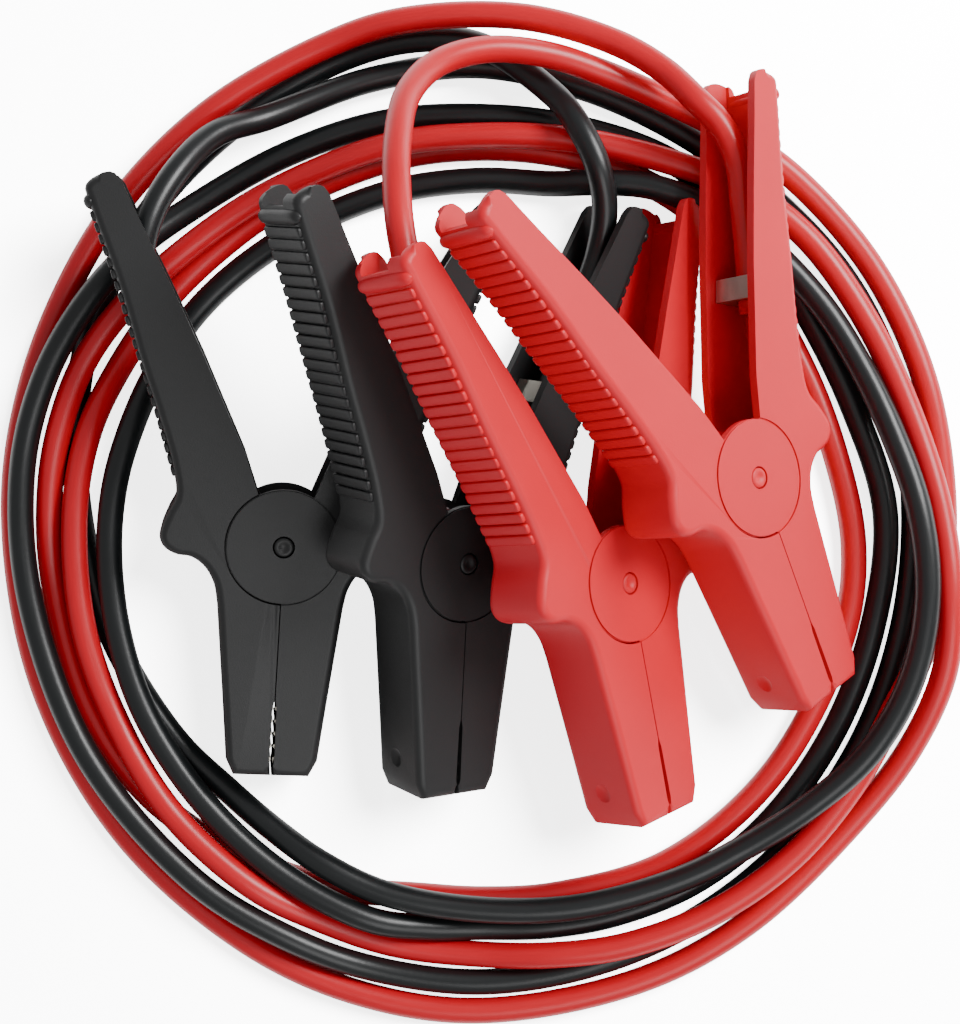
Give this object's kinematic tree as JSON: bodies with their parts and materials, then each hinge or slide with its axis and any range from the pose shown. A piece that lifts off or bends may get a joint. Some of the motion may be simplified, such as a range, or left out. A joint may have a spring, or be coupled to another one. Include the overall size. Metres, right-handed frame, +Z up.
{
  "type": "car jumper cable",
  "caption": "Coiled black and red battery jump leads with sprung, ribbed plastic clamps lying across the coil.",
  "frame": {"origin": "under the middle of the four clamps, on the floor that the coil lies on", "axes": "+Z up from the floor, +Y toward the clamps' handles, +X toward the red clamps"},
  "size_m": [0.2609, 0.2751, 0.0943],
  "materials": {
    "black_plastic": "matte moulded",
    "red_plastic": "satin moulded",
    "spring_steel": "bright zinc",
    "jaw_metal": "pressed and plated",
    "black_cable": "satin vinyl",
    "red_cable": "satin vinyl"
  },
  "bodies": {
    "coil_and_fixed_halves": {"black_1_left_half": "black_plastic", "black_1_pin": "spring_steel", "black_1_spring": "spring_steel", "black_1_left_jaw": "jaw_metal", "black_1_saddle": "jaw_metal", "black_2_right_half": "black_plastic", "black_2_pin": "spring_steel", "black_2_spring": "spring_steel", "black_2_right_jaw": "jaw_metal", "black_2_saddle": "jaw_metal", "red_1_left_half": "red_plastic", "red_1_right_half": "red_plastic", "red_1_pin": "spring_steel", "red_1_spring": "spring_steel", "red_1_left_jaw": "jaw_metal", "red_1_right_jaw": "jaw_metal", "red_1_saddle": "jaw_metal", "red_2_right_half": "red_plastic", "red_2_pin": "spring_steel", "red_2_spring": "spring_steel", "red_2_right_jaw": "jaw_metal", "red_2_saddle": "jaw_metal", "black_cable": "black_cable", "red_cable": "red_cable"},
    "black_1_free_half": {"black_1_right_half": "black_plastic", "black_1_right_jaw": "jaw_metal"},
    "black_2_free_half": {"black_2_left_half": "black_plastic", "black_2_left_jaw": "jaw_metal"},
    "red_2_free_half": {"red_2_left_half": "red_plastic", "red_2_left_jaw": "jaw_metal"}
  },
  "joints": [
    {"name": "black_1_hinge", "type": "hinge", "parent": "coil_and_fixed_halves", "child": "black_1_free_half", "pos_m": [-0.0513, -0.0233, 0.0185], "axis": [0.1304, -0.1301, 0.9829], "range_deg": [0, 15], "stiffness_Nm_per_rad": 0.6, "springref_deg": -20.05},
    {"name": "black_2_hinge", "type": "hinge", "parent": "coil_and_fixed_halves", "child": "black_2_free_half", "pos_m": [-0.0074, -0.0273, 0.0279], "axis": [-0.5855, 0.1434, -0.7979], "range_deg": [0, 7], "stiffness_Nm_per_rad": 0.6, "springref_deg": -20.05},
    {"name": "red_2_hinge", "type": "hinge", "parent": "coil_and_fixed_halves", "child": "red_2_free_half", "pos_m": [0.0657, -0.0071, 0.0355], "axis": [-0.621, -0.0494, -0.7822], "range_deg": [0, 30], "stiffness_Nm_per_rad": 0.6, "springref_deg": -20.05}
  ]
}
